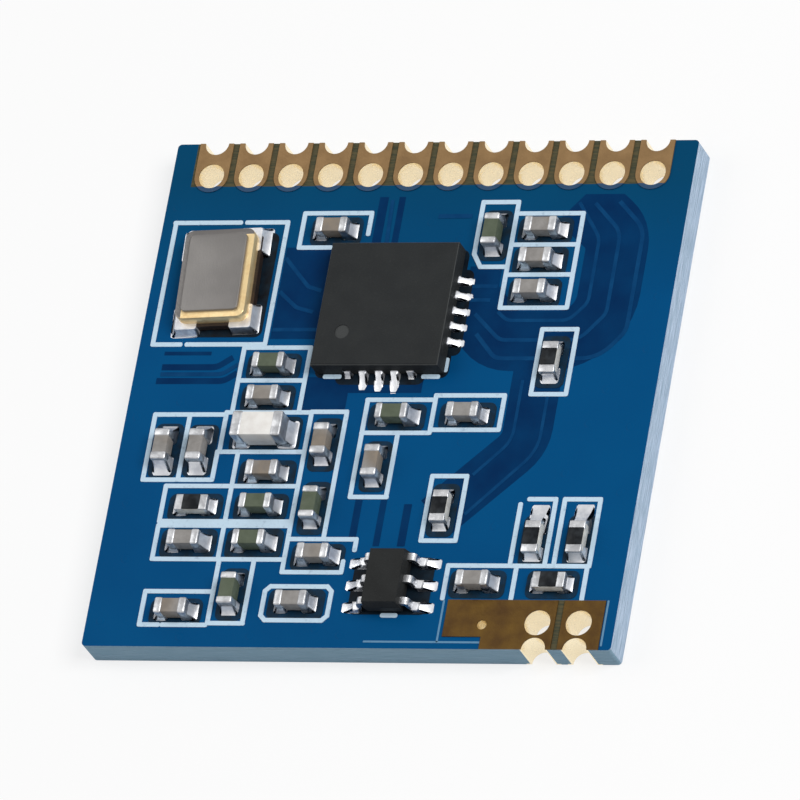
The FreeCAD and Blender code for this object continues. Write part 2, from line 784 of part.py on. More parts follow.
def write(pieces):
    """Write each sub-part to its own file and print what it holds."""
    for piece in pieces:
        shape = piece.Shape
        shape.exportStep("parts/%s.step" % piece.Label)
        box = shape.BoundBox
        print("%-24s solids %3d  volume %9.4f  z %.3f to %.3f"
              % (piece.Label, len(shape.Solids), shape.Volume, box.ZMin, box.ZMax))


fill_sheet()
nodes = board_and_contacts()
nodes += chip_assembly()
nodes += [crystal_base(), quartz_blank(), crystal_ring(), crystal_lid()]
nodes += switch_assembly()
placed, joints_of_chips = chip_parts()
nodes += placed
nodes.append(group("solder_joints", joints_of_chips + chip_solder() + crystal_solder() + switch_solder()))
doc.recompute()
check(nodes)
write(nodes)
print("sub-parts:", len(nodes))
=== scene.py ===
# Small square radio transceiver module: finishes, fine shapes, light and camera.
# Shapes are drawn in millimetres in the board's own frame and shrunk to metres at the end.
import json
import math
import random
import bmesh
import bpy
from mathutils import Matrix, Vector


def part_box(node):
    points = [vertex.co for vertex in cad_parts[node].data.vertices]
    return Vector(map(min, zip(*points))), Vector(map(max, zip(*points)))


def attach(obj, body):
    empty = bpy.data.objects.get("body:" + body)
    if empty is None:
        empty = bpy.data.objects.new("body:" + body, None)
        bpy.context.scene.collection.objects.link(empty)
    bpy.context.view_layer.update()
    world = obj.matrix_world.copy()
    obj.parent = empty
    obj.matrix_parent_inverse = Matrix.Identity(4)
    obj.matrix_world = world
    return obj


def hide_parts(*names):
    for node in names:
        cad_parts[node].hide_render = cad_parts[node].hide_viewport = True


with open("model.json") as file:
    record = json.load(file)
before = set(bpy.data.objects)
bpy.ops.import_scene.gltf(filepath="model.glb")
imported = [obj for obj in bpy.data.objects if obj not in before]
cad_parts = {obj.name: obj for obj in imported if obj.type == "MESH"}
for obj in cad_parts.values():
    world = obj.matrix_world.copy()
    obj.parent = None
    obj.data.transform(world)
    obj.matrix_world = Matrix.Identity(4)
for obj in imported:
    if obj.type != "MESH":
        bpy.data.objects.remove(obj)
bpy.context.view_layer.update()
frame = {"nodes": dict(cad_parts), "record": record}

MM = 0.001
QUARTER = math.pi / 2
chance = random.Random(7)

# Levels of the board's top face and of the undersides of the parts, which stand on solder
TOP = 1.0
SEAT = 1.05

# Places closer than this count as one
TOUCH = 1e-4

# Camera: degrees up from the board and round it, its distance, the width of the frame and the length
# of the lens in pixels, the sensor's width, the point looked at and the nearest distance seen
CAMERA_HEIGHT = 56.3
CAMERA_ROUND = 42.7
CAMERA_DISTANCE = 338.0
FRAME_PIXELS = 800
FOCAL_PIXELS = 11600
SENSOR = 36.0
AIM = (0.136, -0.018, 0.55)
NEAREST_SEEN = 10.0

# Level of the plain light, how white the floor is, and how white it and the backdrop look
SKY_LEVEL = 0.42
FLOOR_WHITE = 0.93
BACKDROP_SHARE = 0.72

# The floor lies this far under the board, so that the two never share a face
FLOOR_GAP = 0.01


def tint(red, green, blue):
    """A colour given as it looks, 0 to 255, in the shader's own units."""
    return [((part / 255 + 0.055) / 1.055) ** 2.4 for part in (red, green, blue)] + [1.0]


# Colours of the module's surfaces
MASK_BLUE = tint(2, 77, 127)
MASK_DEEP = tint(2, 73, 123)
MASK_TEAL = tint(8, 58, 62)
GROOVE_BLUE = tint(2, 42, 84)
GROOVE_PALE = tint(3, 54, 98)
TRACE_DIM = tint(8, 58, 103)
TRACE_BLUE = tint(14, 68, 114)
# Dark flux round the parts, partly painted shade beside and under them
FLUX_SHADE_BLACK = tint(15, 20, 27)
FLUX_SHADE_DARK = tint(20, 36, 48)
FLUX_SHADE_BLUE = tint(12, 48, 74)
INK = tint(194, 217, 234)
INK_FAINT = tint(96, 140, 172)
BARE_BROWN = tint(92, 85, 62)
BARE_OLIVE = tint(66, 69, 55)
EDGE_PALE = tint(188, 205, 226)
EDGE_FIBRE = tint(150, 172, 192)
# Painted shade for the board's sides that face along Y
EDGE_PAINTED_SHADE = tint(120, 153, 172)
GOLD_DARK = tint(76, 50, 10)
GOLD_WARM = tint(102, 74, 20)
GOLD_ROW = tint(152, 121, 82)
GOLD_LINING = tint(255, 240, 206)
MASK_LAP = tint(0, 56, 92)
RESIN = tint(41, 43, 44)
RESIN_PALE = tint(58, 60, 60)
RESIN_DOT = tint(76, 78, 78)
SWITCH_BLACK = tint(36, 37, 37)
TAUPE = tint(150, 147, 144)
TAUPE_BROWN = tint(134, 120, 102)
TAUPE_DARK = tint(112, 108, 104)
GREEN_GREY = tint(88, 97, 80)
GREEN_DARK = tint(64, 73, 56)
PALE_CERAMIC = tint(240, 238, 234)
PALE_SHADE = tint(218, 212, 206)
ALUMINA = tint(214, 214, 208)
COAT_BLACK = tint(8, 12, 17)
COAT_GREY = tint(40, 44, 48)
TIN = tint(214, 215, 217)
TIN_DULL = tint(168, 169, 172)
SOLDER = tint(240, 241, 244)
SOLDER_DULL = tint(204, 206, 212)
LID_GREY = tint(114, 111, 109)
LID_PALE = tint(134, 131, 128)
RIM_GOLD = tint(244, 216, 162)
RIM_BROWN = tint(200, 156, 94)
TRAY_BROWN = tint(52, 40, 34)
QUARTZ = tint(228, 232, 232)

# The mask laps over the lands of the long row as far as this Y, and ends there between them too, this
# far each way from the row's middle along X
MASK_END = 6.78
ROW_MIDDLE = -0.1
ROW_HALF = 7.5

# Between the antenna and ground lands it is left off up to this Y, this far each way from the gap's
# middle along X
GAP_END = -6.63
GAP_MIDDLE = 6.49
GAP_HALF = 0.2

# Towards the row it turns teal, from the first Y to the second and as far as this share
TEAL_REACH = (3.0, 7.0)
TEAL_SHARE = 0.4

# A face counts as looking along an axis when it does so by more than this
SQUARE_ON = 0.5

# How much the mask and the resin mirror, against 0.5 for ordinary glass
MASK_SHINE = 0.03
RESIN_SHINE = 0.08

# The crystal's middle and turn, and how far from it the two far ledges of its frame begin
CRYSTAL_MIDDLE = (-5.97, 3.58)
CRYSTAL_TURN = 2.5
FAR_LEDGE = (0.9, 1.25)

# Level of the floor of the chip's dot, and how near to it the dot's colour keeps
DOT_LEVEL = 1.62
DOT_MARGIN = 0.01


class Value:
    """A number that changes over a surface, used in ordinary sums."""

    def __init__(self, finish, socket):
        self.finish = finish
        self.socket = socket

    def combine(self, operation, *terms):
        """Put terms through one Math node."""
        return self.finish.node("ShaderNodeMath", {"operation": operation}, dict(enumerate(terms)))

    def __add__(self, other):
        return self.combine("ADD", self, other)

    __radd__ = __add__

    def __sub__(self, other):
        return self.combine("SUBTRACT", self, other)

    def __rsub__(self, other):
        return self.combine("SUBTRACT", other, self)

    def __mul__(self, other):
        return self.combine("MULTIPLY", self, other)

    __rmul__ = __mul__

    def __gt__(self, other):
        return self.combine("GREATER_THAN", self, other)

    def __lt__(self, other):
        return self.combine("LESS_THAN", self, other)

    def __abs__(self):
        return self.combine("ABSOLUTE", self)

    def between(self, low, high):
        """0 below low, 1 above high and a straight ramp from one to the other."""
        limits = {0: self, 1: low, 2: high, 3: 0.0, 4: 1.0}
        return self.finish.node("ShaderNodeMapRange", {"clamp": True}, limits)


class Finish:
    """A material and the nodes that make it. Places on the surface are in millimetres."""

    def __init__(self, name, roughness=0.5, metallic=0.0, shine=0.5, coat=0.0):
        self.material = bpy.data.materials.new(name)
        self.material.use_nodes = True
        self.tree = self.material.node_tree
        self.shader = self.tree.nodes["Principled BSDF"]
        self.shader.inputs["Roughness"].default_value = roughness
        self.shader.inputs["Metallic"].default_value = metallic
        self.shader.inputs["Specular IOR Level"].default_value = shine
        self.shader.inputs["Coat Weight"].default_value = coat
        spot = self.node("ShaderNodeTexCoord", {}, {}, "Object")
        self.spot = self.stretched(spot, (1 / MM, 1 / MM, 1 / MM))

    def node(self, kind, settings, sockets, result=0):
        """Add a node: its type, its settings, and the values or links of its sockets."""
        added = self.tree.nodes.new(kind)
        for label, setting in settings.items():
            setattr(added, label, setting)
        for label, value in sockets.items():
            if isinstance(value, Value):
                self.tree.links.new(value.socket, added.inputs[label])
            else:
                added.inputs[label].default_value = value
        return Value(self, added.outputs[result])

    def stretched(self, spot, scale):
        """Places stretched along each axis."""
        return self.node("ShaderNodeMapping", {}, {"Vector": spot, "Scale": scale})

    def noise(self, scale, detail=2.0, rough=0.5, stretch=(1, 1, 1)):
        """Soft noise, scale times to the millimetre."""
        spot = self.stretched(self.spot, stretch)
        sockets = {"Vector": spot, "Scale": scale, "Detail": detail, "Roughness": rough}
        return self.node("ShaderNodeTexNoise", {}, sockets)

    def grains(self, scale):
        """Distance to the nearest of many scattered points."""
        return self.node("ShaderNodeTexVoronoi", {}, {"Vector": self.spot, "Scale": scale})

    def place(self, axis):
        """The place along x, y or z, in millimetres."""
        return self.node("ShaderNodeSeparateXYZ", {}, {"Vector": self.spot}, "XYZ".index(axis))

    def facing(self, axis):
        """How far the surface faces along x, y or z."""
        normal = self.node("ShaderNodeNewGeometry", {}, {}, "True Normal")
        return self.node("ShaderNodeSeparateXYZ", {}, {"Vector": normal}, "XYZ".index(axis))

    def mix(self, share, first, second):
        """From the first colour at 0 to the second at 1."""
        return self.node("ShaderNodeMix", {"data_type": "RGBA"}, {0: share, 6: first, 7: second}, 2)

    def colour(self, value):
        """Give the shader its colour."""
        self.feed("Base Color", value)

    def feed(self, label, value):
        """Give one of the shader's sockets a value that changes over the surface."""
        self.tree.links.new(value.socket, self.shader.inputs[label])

    def relief(self, height, depth):
        """Fine relief, depth millimetres from low to high."""
        sockets = {"Strength": 1.0, "Distance": depth * MM, "Height": height}
        bump = self.node("ShaderNodeBump", {}, sockets)
        self.feed("Normal", bump)


def mask_finish():
    """Blue mask on both faces, bare laminate at the long row, fibres and resin on the sides."""
    made = Finish("solder_mask", shine=MASK_SHINE)
    x = made.place("X")
    y = made.place("Y")
    flat = abs(made.facing("Z")) > SQUARE_ON
    broad = made.noise(0.35, detail=3.0)
    fine = made.noise(9.0, detail=3.0)
    mask = made.mix(broad.between(0.35, 0.65), MASK_DEEP, MASK_BLUE)
    mask = made.mix(y.between(*TEAL_REACH) * TEAL_SHARE, mask, MASK_TEAL)
    weave = made.noise(3.0, stretch=(0.6, 5.0, 1.0)).between(0.35, 0.65)
    bare = made.mix(weave, BARE_OLIVE, BARE_BROWN)
    in_row = (abs(x - ROW_MIDDLE) < ROW_HALF) * (y > MASK_END)
    in_gap = (abs(x - GAP_MIDDLE) < GAP_HALF) * (y < GAP_END)
    open_face = (in_row + in_gap) * (made.place("Z") > TOP / 2)
    face = made.mix(open_face, mask, bare)
    layers = made.noise(2.2, detail=3.0, stretch=(0.5, 0.5, 7.0)).between(0.35, 0.68)
    side = made.mix(layers, EDGE_FIBRE, EDGE_PALE)
    # The sides that face along Y are darkened towards a deeper colour: painted shade
    side = made.mix((abs(made.facing("Y")) > SQUARE_ON) * 0.8, side, EDGE_PAINTED_SHADE)
    made.colour(made.mix(flat, side, face))
    made.feed("Roughness", 0.3 + open_face * 0.3 + (1 - flat) * 0.35 + fine * 0.08)
    made.relief(fine * 0.4 + broad + layers * (1 - flat) * 2.0, 0.012)
    return made.material


def groove_finish():
    """Mask that lies low between the traces, where there is no copper under it."""
    made = Finish("mask_over_laminate", roughness=0.36, shine=MASK_SHINE)
    patchy = made.noise(0.9, detail=3.0).between(0.3, 0.7)
    made.colour(made.mix(patchy, GROOVE_BLUE, GROOVE_PALE))
    made.relief(made.noise(8.0), 0.006)
    return made.material


def flux_and_shade_finish(name, dark, pale):
    """Dried flux and bare gaps round the soldered parts, with painted shade beside them, dark and
    patchy.
    """
    made = Finish(name, roughness=0.4, shine=0.1)
    patchy = made.noise(3.0, detail=3.0).between(0.35, 0.7)
    made.colour(made.mix(patchy, dark, pale))
    made.relief(made.noise(9.0), 0.006)
    return made.material


def trace_finish():
    """Mask over a raised trace."""
    made = Finish("mask_over_trace", roughness=0.3, shine=MASK_SHINE)
    patchy = made.noise(2.5).between(0.3, 0.7)
    made.colour(made.mix(patchy, TRACE_DIM, TRACE_BLUE))
    made.relief(made.noise(7.0), 0.006)
    return made.material


def ink_finish(name, colour):
    """Printed ink, a little thin and uneven."""
    made = Finish(name, roughness=0.6, shine=0.2)
    worn = made.noise(7.0, detail=3.0).between(0.58, 0.8)
    made.colour(made.mix(worn * 0.3, colour, TRACE_BLUE))
    made.relief(made.noise(14.0), 0.01)
    return made.material


def gold_finish():
    """Thin gold: brown and matte on the lands, bright on the linings of the holes."""
    made = Finish("gold_plate")
    cloud = made.noise(1.8, detail=3.0).between(0.3, 0.72)
    fine = made.noise(11.0)
    y = made.place("Y")
    proud = made.place("Z") > TOP
    wall = (abs(made.facing("Z")) < SQUARE_ON) * (1 - proud)
    lapped = (y > 0) * (y < MASK_END) * proud
    land = made.mix(cloud, GOLD_DARK, GOLD_WARM)
    land = made.mix((y > 0) * (0.6 + cloud * 0.3), land, GOLD_ROW)
    land = made.mix(lapped, land, MASK_LAP)
    made.colour(made.mix(wall, land, GOLD_LINING))
    made.feed("Roughness", 0.42 + fine * 0.16 - wall * 0.25)
    made.feed("Metallic", 0.6 + wall * 0.3 - lapped * 0.6)
    made.relief(fine, 0.012)
    return made.material


def resin_finish(name, dark, pale, roughness, dot_level=0.0):
    """Moulded black resin with its fine filler grain, paler on the floor of a recessed dot."""
    made = Finish(name, shine=RESIN_SHINE)
    grain = made.grains(26.0)
    cloud = made.noise(1.3, detail=3.0).between(0.3, 0.7)
    speck = made.noise(30.0, detail=1.0).between(0.64, 0.74)
    resin = made.mix(speck * 0.5 + cloud * 0.25, dark, pale)
    floor = (abs(made.place("Z") - dot_level) < DOT_MARGIN) * (made.facing("Z") > SQUARE_ON)
    made.colour(made.mix(floor * 0.7, resin, RESIN_DOT))
    made.feed("Roughness", roughness + grain * 0.15 + cloud * 0.08)
    made.relief(grain + made.noise(16.0), 0.008)
    return made.material


def ceramic_finish(name, pale, dark, other, roughness=0.45):
    """Fired ceramic, mottled, with tiny pores; some parts come out in the other shade."""
    made = Finish(name, shine=0.3)
    mottle = made.noise(3.6, detail=4.0).between(0.3, 0.72)
    pores = made.grains(18.0).between(0.0, 0.25)
    batch = made.noise(0.5, detail=1.0).between(0.52, 0.6)
    body = made.mix(batch * 0.8, pale, other)
    made.colour(made.mix(mottle * 0.6 + (1 - pores) * 0.3, body, dark))
    made.feed("Roughness", roughness + mottle * 0.12)
    made.relief(pores + mottle, 0.006)
    return made.material


def metal_finish(name, bright, dull, scale, rough, depth, metallic=1.0):
    """Tin or solder: bright and dull clouds, each with its own roughness."""
    made = Finish(name, metallic=metallic)
    cloud = made.noise(scale, detail=3.0, rough=0.55).between(0.36, 0.64)
    fine = made.noise(scale * 5)
    made.colour(made.mix(cloud, bright, dull))
    made.feed("Roughness", rough[0] + cloud * (rough[1] - rough[0]) + fine * 0.06)
    made.relief(cloud + fine * 0.35, depth)
    return made.material


def lid_finish():
    """Nickel lid with a fine rolled grain."""
    made = Finish("nickel_lid", metallic=0.55)
    roll = made.noise(5.0, detail=3.0, stretch=(6.0, 0.5, 1.0))
    cloud = made.noise(0.8).between(0.3, 0.7)
    made.colour(made.mix(cloud * 0.7 + roll * 0.3, LID_GREY, LID_PALE))
    made.feed("Roughness", 0.36 + roll * 0.16)
    made.relief(roll + made.grains(12.0) * 0.3, 0.004)
    return made.material


def rim_finish():
    """Gold-plated seal frame, worn brown in places, with painted shade in grey on its two far ledges."""
    made = Finish("gold_rim", metallic=0.6)
    worn = made.noise(3.0, detail=3.0).between(0.5, 0.75)
    gold = made.mix(worn * 0.6, RIM_GOLD, RIM_BROWN)
    lean = math.tan(math.radians(CRYSTAL_TURN))
    x = made.place("X") - CRYSTAL_MIDDLE[0]
    y = made.place("Y") - CRYSTAL_MIDDLE[1]
    # The top faces of the two far ledges get the lid's grey: painted shade standing for their dark
    # reflection
    left = x + y * lean < -FAR_LEDGE[0]
    back = y - x * lean > FAR_LEDGE[1]
    far_shade = left.combine("MAXIMUM", left, back) * (made.facing("Z") > SQUARE_ON)
    made.colour(made.mix(far_shade, gold, LID_GREY))
    made.feed("Roughness", 0.28 + worn * 0.2)
    made.relief(made.noise(10.0), 0.006)
    return made.material


def glassy_finish(name, colour, haze, roughness):
    """Smooth glassy coat with slight unevenness."""
    made = Finish(name, shine=0.15, coat=0.05)
    cloud = made.noise(4.0)
    made.colour(made.mix(cloud.between(0.4, 0.7), colour, haze))
    made.feed("Roughness", roughness + cloud * 0.1)
    made.relief(cloud, 0.01)
    return made.material


FINISHES = {
    "solder_mask": mask_finish(),
    "groove": groove_finish(),
    "trace": trace_finish(),
    # Flux finishes: dark patches that are partly flux and partly painted shade
    "flux_and_shade": flux_and_shade_finish("flux_and_shade", FLUX_SHADE_DARK, FLUX_SHADE_BLUE),
    "deep_flux_and_shade": flux_and_shade_finish("deep_flux_and_shade", FLUX_SHADE_BLACK, FLUX_SHADE_DARK),
    "ink": ink_finish("white_ink", INK),
    "faint_ink": ink_finish("faint_ink", INK_FAINT),
    "gold_plate": gold_finish(),
    "chip_resin": resin_finish("chip_resin", RESIN, RESIN_PALE, roughness=0.42, dot_level=DOT_LEVEL),
    "switch_resin": resin_finish("switch_resin", SWITCH_BLACK, RESIN_PALE, roughness=0.4),
    "tinned_copper": metal_finish("tinned_copper", TIN, TIN_DULL,
                                  scale=5.0, rough=(0.22, 0.4), depth=0.006),
    "dark_ceramic": ceramic_finish("dark_ceramic", TRAY_BROWN, COAT_BLACK, TRAY_BROWN, roughness=0.35),
    "gold_rim": rim_finish(),
    "nickel_lid": lid_finish(),
    "quartz": glassy_finish("quartz", QUARTZ, ALUMINA, roughness=0.1),
    "brown_ceramic": ceramic_finish("brown_ceramic", TAUPE, TAUPE_DARK, TAUPE_BROWN),
    "pale_ceramic": ceramic_finish("pale_ceramic", PALE_CERAMIC, PALE_SHADE, PALE_CERAMIC),
    "green_ceramic": ceramic_finish("green_ceramic", GREEN_GREY, GREEN_DARK, GREEN_GREY),
    "white_ceramic": ceramic_finish("white_ceramic", ALUMINA, TAUPE, ALUMINA),
    "tin_cap": metal_finish("tin_cap", TIN, TIN_DULL, scale=3.0, rough=(0.32, 0.45), depth=0.008),
    "resistor_film": glassy_finish("resistor_film", COAT_BLACK, COAT_GREY, roughness=0.3),
    "solder": metal_finish("solder", SOLDER, SOLDER_DULL,
                           scale=2.5, rough=(0.3, 0.42), depth=0.006, metallic=0.75),
}


def paint_nodes():
    """Give each carried-over solid the finish of its slot."""
    for part in frame["record"]["subparts"]:
        piece = frame["nodes"][part["node"]]
        piece.data.materials.clear()
        piece.data.materials.append(FINISHES[part["material_slot"]])


def make_piece(name, shape, finish, slot, *nodes, crease=40):
    """Turn a shape drawn in millimetres into a piece that rides on the module."""
    bmesh.ops.scale(shape, vec=(MM, MM, MM), verts=shape.verts)
    bmesh.ops.recalc_face_normals(shape, faces=shape.faces)
    mesh = bpy.data.meshes.new(name)
    shape.to_mesh(mesh)
    shape.free()
    mesh.shade_smooth()
    mesh.set_sharp_from_angle(angle=math.radians(crease))
    mesh.materials.append(FINISHES[finish])
    piece = bpy.data.objects.new(name, mesh)
    bpy.context.scene.collection.objects.link(piece)
    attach(piece, "root")
    if nodes:
        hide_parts(*nodes)


def edges_of(corners):
    """Every edge that meets one of the corners."""
    return list({edge for corner in corners for edge in corner.link_edges})


def rising_edges(shape):
    """Edges that run up rather than level."""
    return [edge for edge in shape.edges if abs(edge.verts[0].co.z - edge.verts[1].co.z) > TOUCH]


def corners_in(items):
    """The corners among what an operator returns."""
    return [item for item in items if isinstance(item, bmesh.types.BMVert)]


def first_face(items):
    """The first face among what an operator returns."""
    return next(item for item in items if isinstance(item, bmesh.types.BMFace))


def first_edge(items):
    """The first edge among what an operator returns."""
    return next(item for item in items if isinstance(item, bmesh.types.BMEdge))


def round_edges(shape, edges, offset, segments=3):
    """Round some edges of a shape."""
    bmesh.ops.bevel(shape, geom=edges, offset=offset, segments=segments, profile=0.5,
                    affect="EDGES", clamp_overlap=True, material=-1)


def block(shape, centre, size, offset=0.0, segments=3):
    """Block with rounded edges."""
    corners = bmesh.ops.create_cube(shape, size=1.0)["verts"]
    bmesh.ops.scale(shape, vec=size, verts=corners)
    bmesh.ops.translate(shape, vec=centre, verts=corners)
    if offset:
        round_edges(shape, edges_of(corners), offset, segments)


def sheet_of(shape, left, right, low, high, level):
    """Flat four-cornered face at one level."""
    corners = bmesh.ops.create_grid(shape, x_segments=1, y_segments=1, size=0.5)["verts"]
    bmesh.ops.scale(shape, vec=(right - left, high - low, 1), verts=corners)
    bmesh.ops.translate(shape, vec=((left + right) / 2, (low + high) / 2, level), verts=corners)
    return corners[0].link_faces[0]


def raise_face(shape, face, height):
    """Give a flat face a thickness upwards and return its new top."""
    top = bmesh.ops.extrude_face_region(shape, geom=[face], use_keep_orig=True)["geom"]
    bmesh.ops.translate(shape, vec=(0, 0, height), verts=corners_in(top))
    return first_face(top)


def stamp(shape, draft, place):
    """Add a draft shape at a place, and use the draft up."""
    first = len(shape.verts)
    mesh = bpy.data.meshes.new("draft")
    draft.to_mesh(mesh)
    draft.free()
    shape.from_mesh(mesh)
    bpy.data.meshes.remove(mesh)
    shape.verts.ensure_lookup_table()
    bmesh.ops.transform(shape, matrix=place, verts=shape.verts[first:])


def turned(x, y, z, degrees):
    """A place, turned about Z."""
    return Matrix.Translation((x, y, z)) @ Matrix.Rotation(math.radians(degrees), 4, "Z")


class ChipPart:
    """Size, middle and turn of a small two-ended part, read from its solid."""

    def __init__(self, node, size):
        low, high = (Vector(corner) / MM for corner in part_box(node))
        self.node = node
        self.middle = (low + high) / 2
        self.length, self.width, self.height, self.band = size
        across = high - low
        self.turn = 0 if across.x > across.y else 90

    def place(self, half=0):
        """Place of its middle on the board, turned as it lies, or half a turn further."""
        return turned(self.middle.x, self.middle.y, 0, self.turn + half)

    def ends(self):
        """Places for both ends, each turned so that the end faces along its own +X."""
        for half in (0, 180):
            yield self.place(half)


# Outer sizes of the small parts: length, width, height and depth of their metal ends
PART_SIZES = {
    "capacitor": (1.0, 0.5, 0.5, 0.25),
    "bulk": (1.6, 0.8, 0.8, 0.32),
    "inductor": (1.0, 0.5, 0.52, 0.22),
    "resistor": (1.0, 0.5, 0.35, 0.27),
}

# The ceramic of each kind of small part
CERAMICS = {
    "capacitor": "brown_ceramic", "bulk": "pale_ceramic",
    "inductor": "green_ceramic", "resistor": "white_ceramic",
}

# Rounding of the ceramic's edges and of its metal ends, how far the ends stand proud of it, and the
# largest share by which one of them is narrower
BODY_ROUND = 0.035
CAP_ROUND = 0.06
CAP_STEP = 0.025
CAP_SPREAD = 0.03

# Coat of a resistor: its thickness over the top, its rounding, how far it laps over both ends
# together, and how much narrower than the part it is
COAT = 0.02
COAT_ROUND = 0.018
COAT_LAP = 0.08
COAT_MARGIN = 0.03

# How the height of a solder bead grows towards the metal: strongly hollow, or fuller
HOLLOW = 2.3
FULL = 1.7

# Rounding of a bead's rising edges, and how far its top leans either way
BEAD_ROUND = 0.07
BEAD_SWAY = 0.02

# Solder of the small parts: the share of the height that it climbs, and its reach beyond the end
CLIMB_RANGE = (0.45, 0.85)
TOE_RANGE = (0.22, 0.3)

# How far it runs in under the metal end and into its face, past its sides on the board, and short of
# them at the top
BEAD_UNDER = 0.04
BEAD_INTO = 0.02
BEAD_PAST = 0.06
BEAD_SHORT = 0.03

# Parts whose solder reaches out unlike that of the rest: at the end nearest +X or +Y, and at the other
OWN_TOES = {
    "resistor_04": (0.66, 0.2), "resistor_05": (0.68, 0.22),
    "capacitor_06": (0.34, 0.34), "capacitor_07": (0.34, 0.34),
}

# Flux and painted shade round a small part: its reach beyond the ends and beyond the sides, how far each
# varies, and the height of the first one
FLUX_SHADE_REACH = (0.36, 0.22)
FLUX_SHADE_SPREAD = ((0.85, 1.1), (0.8, 1.1))
FLUX_SHADE_HEIGHT = 0.0141

# Nodes with the darkest flux and painted shade round them, and its reach towards -X, -Y, +X and +Y
WIDE_FLUX_SHADE = (
    ("switch_leads", 0.2, 0.1, 0.2, 0.1), ("transceiver_chip", 0.05, -0.6, 0.38, -0.6),
    ("transceiver_chip", -0.6, 0.34, -0.6, -0.6), ("transceiver_chip", 0.08, 0.12, 0.12, 0.05),
    ("crystal_base", 0.1, 0.18, 0.28, 0.06),
)

# Flat shapes that cross on the board differ in height by this or by half of it
HEIGHT_STEP = 0.0004


def family_of(node):
    """Kind of small part that a node is the body of, or None."""
    head = node.split("_")[0]
    return head if head in PART_SIZES and not node.endswith(("caps", "coats")) else None


def read_parts():
    """Every small part with its kind, in the order of their names."""
    parts = []
    for node in sorted(frame["nodes"]):
        family = family_of(node)
        if family:
            parts.append((family, ChipPart(node, PART_SIZES[family])))
    return parts


def ceramic_body(family, part):
    """Fired body of one part, a little smaller than its metal ends."""
    shape = bmesh.new()
    draft = bmesh.new()
    step = 0 if family == "resistor" else CAP_STEP
    size = (part.length - 4 * CAP_STEP, part.width - 2 * step, part.height - 2 * CAP_STEP)
    block(draft, (0, 0, SEAT + part.height / 2), size, BODY_ROUND, segments=2)
    stamp(shape, draft, part.place())
    make_piece(part.node + "_body", shape, CERAMICS[family], CERAMICS[family], part.node)


def metal_end(shape, family, part, place):
    """Rounded metal end, drawn facing +X."""
    draft = bmesh.new()
    rounding = CAP_ROUND / 2 if family == "resistor" else CAP_ROUND
    block(draft, (part.length / 2 - part.band / 2, 0, SEAT + part.height / 2),
          (part.band, part.width, part.height), rounding)
    bmesh.ops.scale(draft, vec=(1, 1 - CAP_SPREAD * chance.random(), 1), verts=draft.verts)
    stamp(shape, draft, place)


def film_coat(shape, part):
    """Glassy coat between the ends of a resistor, its edges over the metal."""
    draft = bmesh.new()
    size = (part.length - 2 * part.band + COAT_LAP, part.width - COAT_MARGIN, 2 * COAT)
    block(draft, (0, 0, SEAT + part.height), size, COAT_ROUND, segments=2)
    stamp(shape, draft, part.place())


def bead(shape, place, inner, face, toe, half_pad, half_top, climb, steps=5, curve=HOLLOW):
    """Hollow-sided solder bead, drawn towards +X: from its toe on the board up to the metal's face.

    It reaches back to inner under the metal, is twice half_pad wide on the board and twice half_top
    wide at the top, and climbs in steps.
    """
    draft = bmesh.new()
    top = sheet_of(draft, inner, toe, -half_pad, half_pad, TOP)
    for step in range(1, steps + 1):
        share = step / steps
        top = raise_face(draft, top, climb * (share ** curve - (share - 1 / steps) ** curve))
        left, right = min(c.co.x for c in top.verts), max(c.co.x for c in top.verts)
        new_right = toe + (face - toe) * share
        half = half_pad + (half_top - half_pad) * share
        for corner in top.verts:
            corner.co.x = inner if corner.co.x < (left + right) / 2 else new_right
            corner.co.y = math.copysign(half, corner.co.y)
    round_edges(draft, rising_edges(draft), BEAD_ROUND)
    sway = Vector((chance.uniform(-BEAD_SWAY, BEAD_SWAY), chance.uniform(-BEAD_SWAY, BEAD_SWAY), 0))
    for corner in draft.verts:
        corner.co += sway * (corner.co.z - TOP) / climb
    stamp(shape, draft, place)


def small_parts():
    """Every capacitor, inductor and resistor with its ends. Returns the shape of their solder."""
    solder = bmesh.new()
    ends = {"capacitor": bmesh.new(), "inductor": bmesh.new(), "resistor": bmesh.new()}
    coats = bmesh.new()
    for family, part in read_parts():
        ceramic_body(family, part)
        kind = "capacitor" if family == "bulk" else family
        end = part.length / 2
        side = part.width / 2
        for number, place in enumerate(part.ends()):
            metal_end(ends[kind], family, part, place)
            climb = part.height * chance.uniform(*CLIMB_RANGE) + SEAT - TOP
            reach = chance.uniform(*TOE_RANGE)
            curve = HOLLOW
            if part.node in OWN_TOES:
                reach = OWN_TOES[part.node][number]
                curve = FULL
            bead(solder, place, inner=end - part.band - BEAD_UNDER, face=end - BEAD_INTO,
                 toe=end + reach, half_pad=side + BEAD_PAST, half_top=side - BEAD_SHORT,
                 climb=climb, curve=curve)
        if family == "resistor":
            film_coat(coats, part)
    for kind, shape in ends.items():
        make_piece(kind + "_ends", shape, "tin_cap", "tin_cap", kind + "_end_caps")
    make_piece("resistor_glaze", coats, "resistor_film", "resistor_film", "resistor_coats")
    return solder


def surround(shape, place, half_length, half_width, height):
    """Flat patch with round corners on the board."""
    draft = bmesh.new()
    face = sheet_of(draft, -half_length, half_length, -half_width, half_width, TOP)
    raise_face(draft, face, height)
    round_edges(draft, rising_edges(draft), FLUX_SHADE_REACH[1], segments=4)
    stamp(shape, draft, place)


